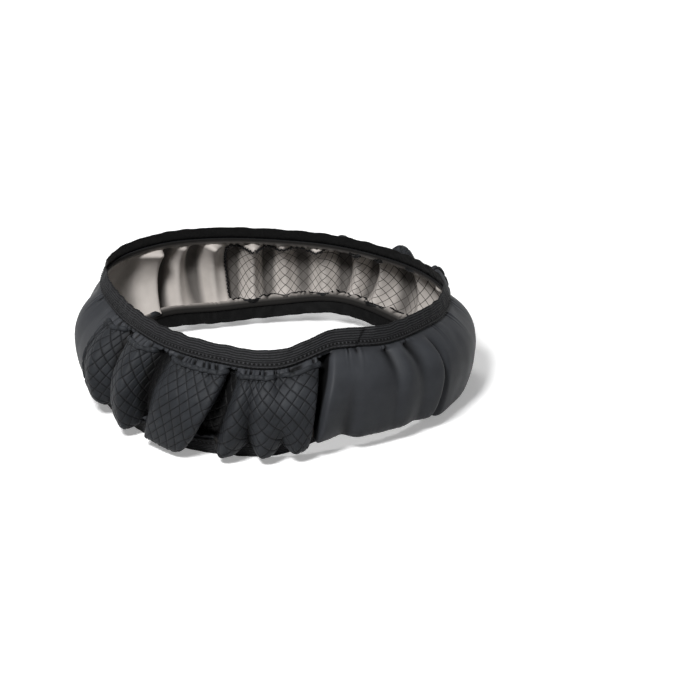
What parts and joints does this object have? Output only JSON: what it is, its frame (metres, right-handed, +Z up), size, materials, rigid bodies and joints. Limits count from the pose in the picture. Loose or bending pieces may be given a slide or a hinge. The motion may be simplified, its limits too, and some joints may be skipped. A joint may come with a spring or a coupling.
{
  "type": "steering wheel cover",
  "caption": "Elasticated slip-on cover for a steering wheel: a gathered leatherette ring with a C-shaped section, two embossed grip pads and elastic edges.",
  "frame": {"origin": "on the surface that the cover lies on, under the middle of its overall box", "axes": "+Z up, along the axis of the ring; -Y towards the front grip pad, +X to the right of a viewer who faces it"},
  "size_m": [0.3236, 0.3348, 0.0956],
  "materials": {
    "smooth_leatherette": "satin black leatherette, warm grey fabric backing on the inside",
    "embossed_leatherette": "satin black leatherette embossed with a diamond lattice",
    "elastic_webbing": "matt black woven elastic with lengthwise ribs"
  },
  "bodies": {
    "root": {"band": "smooth_leatherette", "grip_pad_front": "embossed_leatherette", "grip_pad_back": "embossed_leatherette", "elastic_top": "elastic_webbing", "elastic_bottom": "elastic_webbing"}
  },
  "joints": []
}
